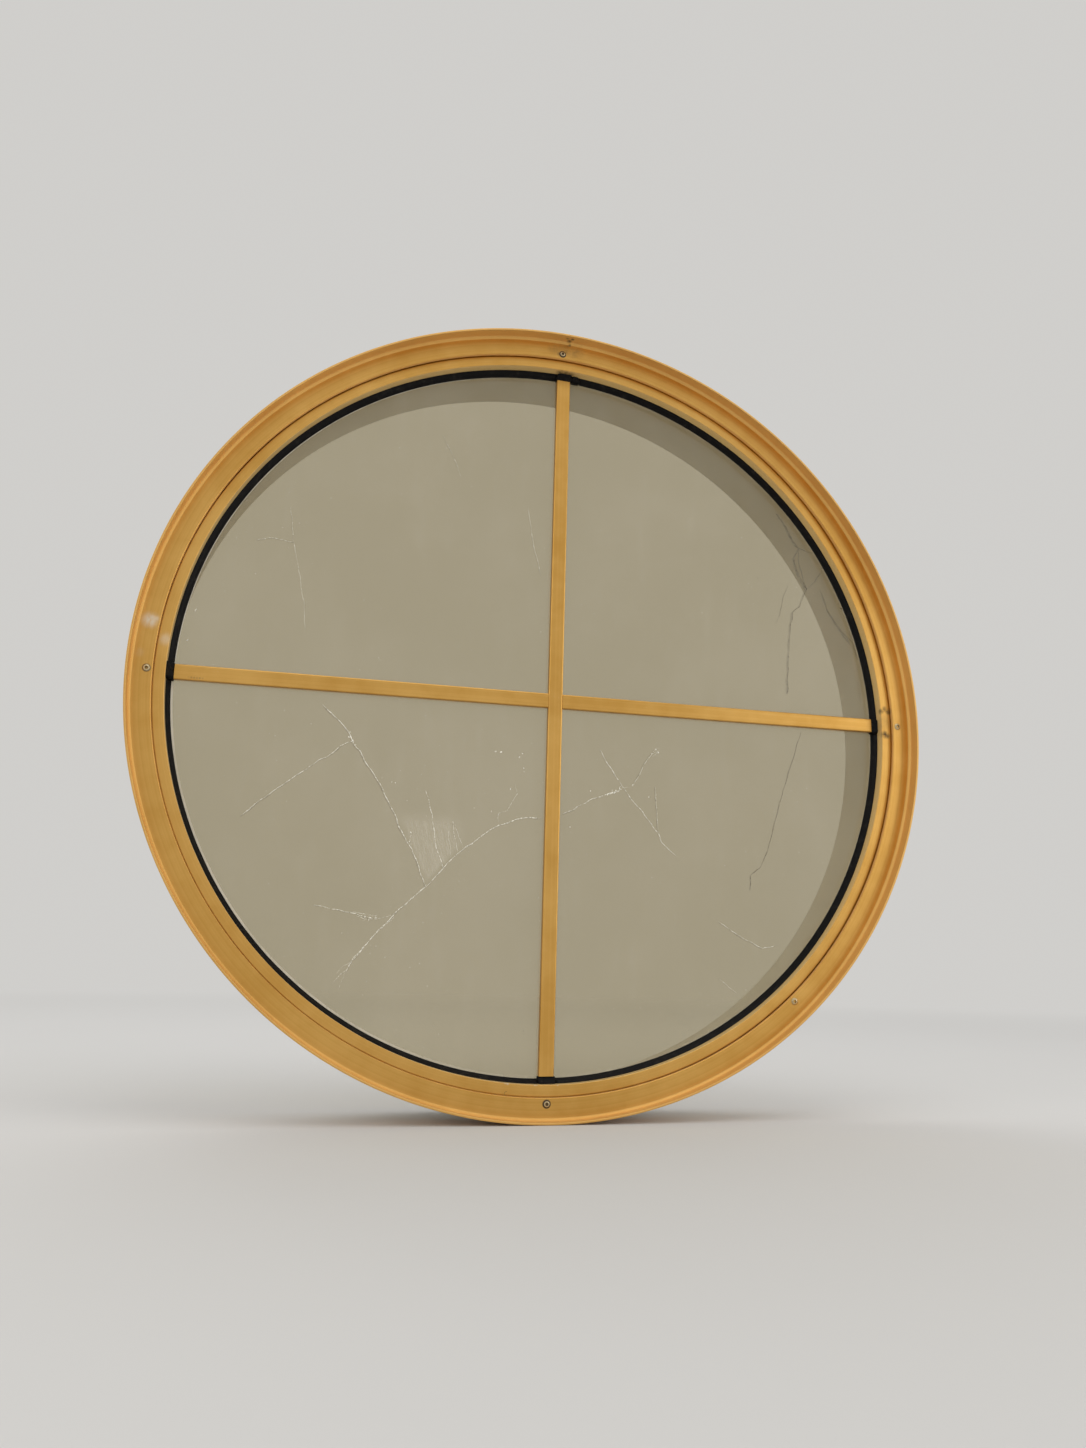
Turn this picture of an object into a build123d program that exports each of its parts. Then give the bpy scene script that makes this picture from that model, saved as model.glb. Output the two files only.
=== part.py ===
"""A round fixed window: a rolled aluminium frame with its glazing bead, one pane, and two crossed bars.

Millimetres. The window stands upright in the XZ plane with +Z up, and the outdoors is towards -Y.
The origin is on the hoop's axis, in the plane of the frame's flat face. Radii are from that axis,
depths are along +Y, and angles round the window are in degrees from +X towards +Z.
"""

from build123d import *
from math import asin, cos, degrees, radians, sin, sqrt
import os

# Frame extrusion, rolled into one hoop: rim, flat face, turned-down lip, outer wall and inner leg
frame_radius = 450.0
frame_wall = 2.2            # rim and outer wall
rim_height = 15.0           # rim in front of the flat face
face_width = 24.5           # from the outside to the face's inner edge
face_wall = 2.0
lip_wall = 1.6
lip_drop = 4.2              # from the flat face to the lip's lower edge
leg_width = 33.0            # from the outside to the leg's inner edge
leg_wall = 2.0
rim_splay = 2.6             # slope between the rim and the flat face
butt_angle = 88.9           # where the hoop's two ends meet
butt_gap = 0.3

# Glazing bead: its face, the shadow groove beside it, and a tongue hidden behind the flat face
bead_setback = 5.0          # bead's face behind the flat face
bead_width = 10.9
bead_height = 11.2          # bead's inner wall
bead_wall = 1.6
groove_gap = 1.2            # open width between the lip and the bead's face
groove_depth = 1.9
lip_clearance = 0.3         # lip to the wall that carries the tongue
tongue_edge = 4.5           # tongue past the rivets' circle
infill_start = -1.4         # short length of bead that closes the ring
infill_end = 2.5
infill_gap = 0.8

# Blind rivets through the flat face and the tongue
rivet_angles = (-0.1, 89.6, 180.5, 270.1, 311.0)
rivet_shank = 2.0           # radius
rivet_head = 4.0            # radius
rivet_crown = 1.3           # thickness of the head round its mouth
rivet_mouth = 1.3           # radius of the dimple that the mandrel leaves
rivet_dimple = 0.7          # dimple's bottom behind the flat face
rivet_tail = 3.0            # shank past the tongue
rivet_room = 0.4            # wall that carries the tongue to the shank
rivet_fit = 0.05

# Pane, and what carries its edge
glass_thickness = 6.0
glass_edge_gap = 6.0        # pane's edge to the frame's outer wall
tape_thickness = 1.6
tape_width = 13.0
tape_margin = 1.0           # tape's inner edge to the leg's
block_angles = (240.0, 300.0)
block_length = 80.0
spacer_angles = (20.0, 70.0, 110.0, 160.0)
spacer_length = 50.0
block_fit = 0.2
block_rise = 1.0            # blocks and spacers in front of the pane

# Wedge gasket in four lengths, pressed in between the bead and the pane
gasket_depth = 7.2          # bead to pane
gasket_reach = {"upper_right": 5.2, "upper_left": 6.0, "lower_left": 4.7, "lower_right": 5.2}
gasket_body = 7.6           # gasket's width behind the bead
gasket_nose = 1.0           # straight edge on the pane
gasket_fit = 0.2

# Crossed flat bars, halved into each other and taped to the pane
bar_width = 16.5
bar_depth = 6.0
bar_round = 1.5
bar_stop = 7.4              # bars' ends to the bead
bar_tape = 1.0
bar_tape_margin = 1.5
crossing_x = 6.7
crossing_z = 0.9
level_angle = 0.21
upright_angle = 89.63
halving_fit = 0.1

# Dab of sealant at each bar's end: its lengths before and after the bar's middle, along the bead
sealant_span = {"right": (11.0, 9.0), "top": (21.0, 9.0), "left": (11.0, 9.5), "bottom": (9.0, 12.0)}
sealant_front = 0.8         # dab's front edge behind the bar's face
sealant_climb = {"right": 3.0, "top": 4.5, "left": 9.0, "bottom": 3.0}    # dab up the bead's wall
sealant_fit = 0.1

# Flat plate and pins that join the hoop's ends, inside the frame
key_length = 60.0
key_depth = 11.6
key_thickness = 6.0
key_fit = 0.25
pin_radius = 2.0
pin_pitch = 32.0
pin_sink = 0.1              # pin's end below the outer wall
pin_fit = 0.05

# Lining hoop of the opening, bonded to the back of the leg
hoop_step = 4.0             # hoop's inside behind the leg's edge
hoop_thickness = 16.0
hoop_depth = 76.0

# Radii that follow
channel_outer = frame_radius - frame_wall
leg_inner = frame_radius - leg_width
face_inner = frame_radius - face_width
bead_outer = face_inner - groove_gap
bead_inner = bead_outer - bead_width
tongue_wall_inner = face_inner + lip_wall + lip_clearance
tongue_wall_outer = tongue_wall_inner + bead_wall
rivet_circle = tongue_wall_outer + rivet_shank + rivet_room
tongue_outer = rivet_circle + tongue_edge
glass_radius = channel_outer - glass_edge_gap
tape_inner = leg_inner + tape_margin
bar_reach = bead_inner - bar_stop
key_outer = sqrt((channel_outer - key_fit) ** 2 - (key_length / 2) ** 2)
key_inner = key_outer - key_thickness
hoop_inner = leg_inner + hoop_step
hoop_outer = hoop_inner + hoop_thickness

# Depths that follow
groove_floor = bead_setback + groove_depth
shelf_back = groove_floor + bead_wall
tongue_back = face_wall + bead_wall
bead_end = bead_setback + bead_height
glass_front = bead_end + gasket_depth
glass_back = glass_front + glass_thickness
leg_front = glass_back + tape_thickness
leg_back = leg_front + leg_wall
bar_back = glass_front - bar_tape
bar_front = bar_back - bar_depth
bar_middle = bar_front + bar_depth / 2
key_front = face_wall + key_fit
pin_depth = key_front + key_depth / 2

hub = Axis((0, 0, 0), (0, -1, 0))


def outward(angle):
    """Unit vector from the hoop's axis."""
    return Vector(cos(radians(angle)), 0, sin(radians(angle)))


def arc_angle(length, radius):
    """Angle of an arc of this length."""
    return degrees(length / radius)


def half_plane(angle, radius=0.0):
    """Plane whose x is the radius, from the radius given, and whose y is the depth."""
    return Plane(origin=outward(angle) * radius, x_dir=outward(angle), z_dir=outward(angle + 90))


def outer_face(angle, radius, depth):
    """Plane that faces away from the hoop's axis, for a radial hole."""
    origin = outward(angle) * radius + Vector(0, depth, 0)
    return Plane(origin=origin, x_dir=(0, 1, 0), z_dir=outward(angle))


def front_face(angle, radius):
    """Plane of the flat face, for a rivet's hole."""
    return Plane(origin=outward(angle) * radius, x_dir=outward(angle), z_dir=(0, -1, 0))


def bar_plane(angle, depth=0.0):
    """Plane across a bar at the crossing: x over its width, y along the depth, z along the bar."""
    origin = (crossing_x, depth, crossing_z)
    return Plane(origin=origin, x_dir=outward(angle - 90), z_dir=outward(angle))


def section_of(corners, plane):
    """Closed straight-sided section on a plane."""
    with BuildSketch(plane) as section_sketch:
        with BuildLine():
            Polyline(*corners, close=True)
        make_face()
    return section_sketch.sketch


def roll(corners, start, end):
    """Rolls a section of (radius, depth) corners round the window."""
    revolve(section_of(corners, half_plane(start)), axis=hub, revolution_arc=end - start)


def turn(corners, plane):
    """Turns a section of (radius, length) corners about its plane's y."""
    revolve(section_of(corners, plane), axis=Axis(plane.origin, plane.y_dir))


def block(inner, outer, front, back):
    """Corners of a rectangular section."""
    return [(inner, front), (outer, front), (outer, back), (inner, back)]


def write(piece, node):
    """Labels a finished piece and writes it under its node's name."""
    piece.part.label = node
    export_step(piece.part, f"parts/{node}.step")


os.makedirs("parts", exist_ok=True)

# Frame: one extrusion rolled into a hoop, with a butt joint near the top
frame_corners = [
    (frame_radius, -rim_height),
    (frame_radius, leg_back),
    (leg_inner, leg_back),
    (leg_inner, leg_front),
    (channel_outer, leg_front),
    (channel_outer, face_wall),
    (face_inner + lip_wall, face_wall),
    (face_inner + lip_wall, lip_drop),
    (face_inner, lip_drop),
    (face_inner, 0),
    (channel_outer - rim_splay, 0),
    (channel_outer, -rim_splay),
    (channel_outer, -rim_height),
]
butt_half = arc_angle(butt_gap, frame_radius) / 2
pin_half = arc_angle(pin_pitch, frame_radius) / 2
pin_angles = (butt_angle - pin_half, butt_angle + pin_half)

with BuildPart() as frame_ring:
    roll(frame_corners, butt_angle + butt_half, butt_angle + 360 - butt_half)
    for angle in rivet_angles:
        with Locations(front_face(angle, rivet_circle)):
            Hole(rivet_shank + rivet_fit, depth=tongue_back)
    for angle in pin_angles:
        with Locations(outer_face(angle, frame_radius, pin_depth)):
            Hole(pin_radius + pin_fit, depth=frame_wall + key_fit)
write(frame_ring, "frame_ring")

# Bead: a long length, and a short one that closes the ring at the right
bead_corners = [
    (bead_inner, bead_setback),
    (bead_outer, bead_setback),
    (bead_outer, groove_floor),
    (tongue_wall_inner, groove_floor),
    (tongue_wall_inner, face_wall),
    (tongue_outer, face_wall),
    (tongue_outer, tongue_back),
    (tongue_wall_outer, tongue_back),
    (tongue_wall_outer, shelf_back),
    (bead_inner + bead_wall, shelf_back),
    (bead_inner + bead_wall, bead_end),
    (bead_inner, bead_end),
]
infill_gap_angle = arc_angle(infill_gap, bead_inner)
bead_lengths = {
    "bead_ring": (infill_end + infill_gap_angle, infill_start + 360 - infill_gap_angle),
    "bead_infill": (infill_start, infill_end),
}
for node, (start, end) in bead_lengths.items():
    with BuildPart() as bead:
        roll(bead_corners, start, end)
        for angle in rivet_angles:
            if start < angle < end:
                with Locations(front_face(angle, rivet_circle)):
                    Hole(rivet_shank + rivet_fit, depth=shelf_back)
    write(bead, node)

# Blind rivets, each with the dimple that its mandrel leaves
rivet_corners = [
    (0, rivet_dimple),
    (rivet_mouth, -rivet_crown),
    (rivet_head, 0),
    (rivet_shank, 0),
    (rivet_shank, tongue_back + rivet_tail),
    (0, tongue_back + rivet_tail),
]
with BuildPart() as bead_rivets:
    for angle in rivet_angles:
        turn(rivet_corners, half_plane(angle, rivet_circle))
write(bead_rivets, "bead_rivets")

# Pane behind both bars, the tape behind it, and the blocks and spacers round its edge
with BuildPart() as glass_pane:
    with BuildSketch(Plane.XZ.offset(-glass_back)):
        Circle(glass_radius)
    extrude(amount=glass_thickness)
write(glass_pane, "glass_pane")

with BuildPart() as inner_gasket:
    roll(block(tape_inner, tape_inner + tape_width, glass_back, leg_front), 0, 360)
write(inner_gasket, "inner_gasket")

edge_corners = block(
    glass_radius + block_fit,
    channel_outer - block_fit,
    glass_front - block_rise,
    leg_front - block_fit,
)
edge_pieces = {
    "setting_blocks": (block_angles, block_length),
    "edge_spacers": (spacer_angles, spacer_length),
}
for node, (angles, length) in edge_pieces.items():
    half = arc_angle(length, glass_radius) / 2
    with BuildPart() as edge_piece:
        for angle in angles:
            roll(edge_corners, angle - half, angle + half)
    write(edge_piece, node)

# Crossed bars: the upright one runs through in front, the level one behind
halving_width = bar_width + 2 * halving_fit
bar_corners = block(-bar_width / 2, bar_width / 2, bar_front, bar_back)
halves = {
    "bar_vertical": (upright_angle, level_angle, bar_middle, bar_back),
    "bar_horizontal": (level_angle, upright_angle, bar_front, bar_middle + halving_fit),
}
for node, (angle, other_angle, cut_front, cut_back) in halves.items():
    with BuildPart() as bar:
        extrude(section_of(bar_corners, bar_plane(angle)), amount=frame_radius, both=True)
        front_edges = bar.faces().sort_by(Axis.Y)[0].edges()
        fillet(front_edges.sort_by(SortBy.LENGTH)[-2:], radius=bar_round)
        with BuildSketch(Plane.XZ.offset(-bar_back)):
            Circle(bar_reach)
        extrude(amount=bar_depth, mode=Mode.INTERSECT)
        with Locations(bar_plane(other_angle, (cut_front + cut_back) / 2)):
            Box(halving_width, cut_back - cut_front, 2 * bar_width, mode=Mode.SUBTRACT)
    write(bar, node)

# Tapes that hold the bars on the pane: the level one runs through
tape_half = bar_width / 2 - bar_tape_margin
tape_corners = block(-tape_half, tape_half, bar_back, glass_front)
for node, angle in {"bar_tape_vertical": upright_angle, "bar_tape_horizontal": level_angle}.items():
    with BuildPart() as tape:
        extrude(section_of(tape_corners, bar_plane(angle)), amount=frame_radius, both=True)
        with BuildSketch(Plane.XZ.offset(-glass_front)):
            Circle(bar_reach)
        extrude(amount=bar_tape, mode=Mode.INTERSECT)
        if angle == upright_angle:
            with Locations(bar_plane(level_angle, (bar_back + glass_front) / 2)):
                Box(halving_width, bar_tape, 2 * bar_width, mode=Mode.SUBTRACT)
    write(tape, node)

# Dabs of sealant from the bars' ends to the bead, and the gasket's four lengths between them
crossing = Vector(crossing_x, 0, crossing_z)
level_swing = degrees(asin(crossing.dot(outward(level_angle + 90)) / bead_inner))
upright_swing = degrees(asin(crossing.dot(outward(upright_angle + 90)) / bead_inner))
bar_ends = {
    "right": level_angle + level_swing,
    "top": upright_angle + upright_swing,
    "left": level_angle + 180 - level_swing,
    "bottom": upright_angle + 180 - upright_swing,
}
sealant_start = {end: bar_ends[end] - arc_angle(sealant_span[end][0], bead_inner) for end in bar_ends}
sealant_end = {end: bar_ends[end] + arc_angle(sealant_span[end][1], bead_inner) for end in bar_ends}
for end in bar_ends:
    sealant_corners = [
        (bar_reach + sealant_fit, bar_front + sealant_front),
        (bead_inner - sealant_fit, bead_end - sealant_climb[end]),
        (bead_inner - sealant_fit, glass_front),
        (bar_reach + sealant_fit, glass_front),
    ]
    with BuildPart() as sealant:
        roll(sealant_corners, sealant_start[end], sealant_end[end])
    write(sealant, f"sealant_{end}")

gasket_between = {
    "upper_right": ("right", "top"),
    "upper_left": ("top", "left"),
    "lower_left": ("left", "bottom"),
    "lower_right": ("bottom", "right"),
}
gasket_front = bead_end + gasket_fit
gap_angle = arc_angle(gasket_fit, bead_inner)
for place, (before, after) in gasket_between.items():
    nose_radius = bead_inner - gasket_reach[place]
    gasket_corners = [
        (bead_inner, gasket_front),
        (bead_inner + gasket_body, gasket_front),
        (bead_inner + gasket_body, glass_front),
        (nose_radius, glass_front),
        (nose_radius, glass_front - gasket_nose),
    ]
    turns = 360 if after == "right" else 0
    with BuildPart() as gasket:
        roll(gasket_corners, sealant_end[before] + gap_angle, sealant_start[after] + turns - gap_angle)
    write(gasket, f"gasket_{place}")

# Plate across the hoop's joint, behind the flat face, and the two pins through it
key_corners = block(key_inner, key_outer, key_front, key_front + key_depth)
with BuildPart() as frame_joint_key:
    extrude(section_of(key_corners, half_plane(butt_angle)), amount=key_length / 2, both=True)
    for angle in pin_angles:
        with Locations(outer_face(angle, frame_radius, pin_depth)):
            Hole(pin_radius + pin_fit, depth=frame_radius - key_inner + key_fit)
write(frame_joint_key, "frame_joint_key")

with BuildPart() as frame_joint_pins:
    for angle in pin_angles:
        with BuildSketch(outer_face(angle, frame_radius - pin_sink, pin_depth)):
            Circle(pin_radius)
    extrude(amount=key_inner - frame_radius + pin_sink)
write(frame_joint_pins, "frame_joint_pins")

# Lining hoop behind the leg
with BuildPart() as reveal_hoop:
    roll(block(hoop_inner, hoop_outer, leg_back, leg_back + hoop_depth), 0, 360)
write(reveal_hoop, "reveal_hoop")
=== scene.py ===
"""Fine shapes, finishes and studio for a round fixed window.

Metres. The window stands upright in the XZ plane with +Z up, and the outdoors is towards -Y.
The origin is on the hoop's axis, in the plane of the frame's flat face. Sections are lists of
(radius, depth, rounding) in millimetres, and angles run from +X towards +Z.
"""

import math

import bmesh
import bpy
from bpy.props import FloatProperty, FloatVectorProperty, IntProperty, PointerProperty
from mathutils import Matrix, Vector, noise


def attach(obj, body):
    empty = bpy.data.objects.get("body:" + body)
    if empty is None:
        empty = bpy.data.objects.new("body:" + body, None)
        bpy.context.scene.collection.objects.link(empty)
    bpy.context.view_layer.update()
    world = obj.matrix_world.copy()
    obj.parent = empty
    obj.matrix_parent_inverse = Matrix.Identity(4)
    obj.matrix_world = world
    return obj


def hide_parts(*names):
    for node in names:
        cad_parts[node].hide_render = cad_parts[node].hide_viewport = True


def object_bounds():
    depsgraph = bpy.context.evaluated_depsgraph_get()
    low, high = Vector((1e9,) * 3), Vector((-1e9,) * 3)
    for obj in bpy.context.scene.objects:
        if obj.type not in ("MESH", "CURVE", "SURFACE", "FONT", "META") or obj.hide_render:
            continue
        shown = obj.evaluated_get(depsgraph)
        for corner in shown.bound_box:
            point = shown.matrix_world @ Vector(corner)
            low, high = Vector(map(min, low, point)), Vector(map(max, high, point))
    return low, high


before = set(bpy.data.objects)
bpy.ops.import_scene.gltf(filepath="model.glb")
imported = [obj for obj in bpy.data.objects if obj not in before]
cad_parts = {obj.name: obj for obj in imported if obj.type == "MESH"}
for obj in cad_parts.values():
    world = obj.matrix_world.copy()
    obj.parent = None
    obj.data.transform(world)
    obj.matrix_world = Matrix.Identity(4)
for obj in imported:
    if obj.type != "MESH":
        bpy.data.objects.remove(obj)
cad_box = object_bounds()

bl_info = {
    "name": "Round window",
    "version": (1, 0, 0),
    "blender": (4, 5, 0),
    "location": "View3D > Sidebar > Round window",
    "description": "Fine shapes, finishes and studio for a round fixed window",
    "category": "Object",
}

MM = 0.001
MERGE_DISTANCE = 1e-6

# Sections of the rolled pieces. The groove between the bead and the frame's lip is 0.4 mm narrower
# than the CAD's, and shows as a fine line
FRAME_SECTION = (
    (450.0, -15.0, 0.5), (450.0, 33.0, 0.3), (417.0, 33.0, 0.3), (417.0, 31.0, 0.3),
    (447.8, 31.0, 0.0), (447.8, 2.0, 0.0), (427.1, 2.0, 0.0), (427.1, 4.2, 0.3),
    (425.5, 4.2, 0.5), (425.5, 0.0, 0.7), (445.4, 0.0, 0.9), (447.8, -2.4, 0.9),
    (447.8, -15.0, 0.5),
)
BEAD_SECTION = (
    (413.4, 5.0, 0.6), (424.7, 5.0, 0.35), (424.7, 6.9, 0.2), (427.4, 6.9, 0.0),
    (427.4, 2.0, 0.0), (435.9, 2.0, 0.0), (435.9, 3.6, 0.0), (429.0, 3.6, 0.0),
    (429.0, 8.5, 0.0), (415.0, 8.5, 0.0), (415.0, 16.2, 0.2), (413.4, 16.2, 0.4),
)
REVEAL_SECTION = (
    (421.0, 33.0, 0.0), (437.0, 33.0, 0.0), (437.0, 109.0, 1.5), (421.0, 109.0, 1.5),
)

# Angles at which the rolled pieces start and end
BUTT_ANGLE = 88.9
BUTT_HALF = 0.006
BEAD_LENGTHS = {"bead_ring": (2.585, 358.515), "bead_infill": (-1.45, 2.55)}

# Rivets, on one circle: angle, and how dark it is in and round its head, with grime and painted shade
# that is strongest at the top and the bottom
RIVET_CIRCLE = 431.4
RIVETS = ((-0.1, 0.05), (89.6, 0.9), (180.5, 0.55), (270.1, 0.9), (311.0, 0.1))
RIVET_STEPS = 40

# Where the grime and painted shade round a rivet fade on the gold, and where the darkening on its own
# head ends, in metres
RIVET_GRIME_AND_SHADE_RING = (0.0040, 0.0050)
RIVET_REACH = (0.0048, 0.0050)

# Half a rivet's outline: radius and depth
RIVET_SECTION = (
    (0.0, 0.05), (0.5, 0.05), (0.7, 0.25), (0.75, 0.65),
    (1.35, 0.65), (1.45, -0.75), (1.58, -1.15), (1.85, -1.3),
    (2.25, -1.24), (2.8, -1.02), (3.5, -0.66), (3.9, -0.36),
    (4.0, -0.18), (3.96, 0.0), (2.0, 0.0), (2.0, 6.6),
    (0.0, 6.6),
)

# Dark marks on the gold film: angle, radius, depth, radius of the mark, and strength
MARKS = (
    (87.4, 437.5, 0.0, 13.0, 0.42), (88.7, 436.0, 0.0, 9.0, 0.36),
    (89.7, 438.0, 0.0, 11.0, 0.34), (91.0, 436.5, 0.0, 11.0, 0.38),
    (90.15, 431.4, 0.0, 5.5, 0.6), (88.95, 434.5, 0.0, 3.6, 0.6),
    (88.75, 447.8, -4.5, 4.8, 1.0), (88.35, 447.8, -9.0, 3.2, 1.0),
    (89.15, 447.8, -9.0, 3.2, 0.9), (88.5, 444.8, -0.4, 3.0, 0.8),
    (89.5, 413.4, 11.0, 7.5, 0.9), (88.6, 413.4, 10.0, 6.5, 0.8),
    (87.7, 413.4, 11.0, 7.5, 0.95), (2.95, 419.0, 5.0, 4.6, 0.75),
    (2.50, 423.6, 5.0, 5.6, 1.0), (2.50, 413.5, 6.5, 5.2, 1.0),
    (358.55, 417.0, 5.0, 6.6, 1.0), (358.4, 421.5, 5.0, 5.4, 0.9),
    (0.6, 419.0, 5.0, 15.0, 0.22), (180.88, 391.0, 17.0, 1.9, 0.55),
    (180.90, 388.4, 17.0, 2.1, 0.85), (180.91, 385.6, 17.0, 2.2, 0.9),
    (180.92, 382.8, 17.0, 2.1, 0.8), (180.93, 380.0, 17.0, 1.9, 0.75),
    (180.95, 377.0, 17.0, 1.7, 0.55),
)

# A curved scratch on the bead: its centre, radius and half width, and where its right half fades out
SCRATCH_CENTRE = (-0.0406, 0.005, -0.4216)
SCRATCH_RADIUS = 0.0022
SCRATCH_HALF = 0.00026
SCRATCH_LEFT_HALF = (-0.0406, -0.0398)

# Pale smears and specks on the gold film: angle, radius, depth, radius of the smear, and strength
SMEARS = (
    (173.74, 435.4, 0.0, 12.0, 0.95), (173.4, 430.4, 0.0, 6.0, 0.7),
    (175.88, 417.6, 5.0, 10.0, 0.45), (178.44, 439.7, -3.0, 8.0, 0.2),
    (264.5, 413.3, 5.4, 2.4, 1.0), (264.15, 413.3, 5.4, 1.8, 0.8),
    (268.5, 413.3, 5.4, 1.8, 0.8), (268.8, 413.3, 5.4, 1.4, 0.6),
    (271.9, 413.3, 5.4, 1.9, 1.0),
)

# Bands of the gold film that are paler: a painted highlight on the bead's inner wall, painted light on
# the rim, and a paler band on the lip's wall. Where each starts, is whole from, is whole to, and ends
BEAD_WALL = (0.4128, 0.4133, 0.4136, 0.4141)
BEAD_WALL_FRONT = (0.0050, 0.0056)
LIP_WALL = (0.4250, 0.4253, 0.4257, 0.4261)
LIP_WALL_DEPTH = (0.0002, 0.0008, 0.0044, 0.0048)
RIM_START = (0.4446, 0.4456)
RIM_WALL = (0.4470, 0.4477, 0.4481, 0.4485)

# Holes for the joint's pins through the hoop's outer wall
PIN_ANGLES = (86.863, 90.937)
PIN_RADIUS = 449.0
PIN_DEPTH = 8.05
PIN_HOLE = 2.05
PIN_CUT_LENGTH = 6.0
PIN_SEGMENTS = 32

# Gasket's four lengths: start, end, and radius of the nose on the pane
GASKETS = {
    "gasket_upper_right": (1.606, 85.764, 408.2),
    "gasket_upper_left": (89.977, 178.536, 407.4),
    "gasket_lower_left": (181.433, 269.283, 408.7),
    "gasket_lower_right": (272.249, 358.779, 408.2),
}

# The gasket's section, and where and by what noise its nose strays
GASKET_FRONT = 16.4
GASKET_BACK = 23.4
GASKET_OUTER = 421.0
GASKET_SHOULDER = 413.2
GASKET_NOSE_REACH = 412.0
GASKET_NOISE = 40.0

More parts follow.
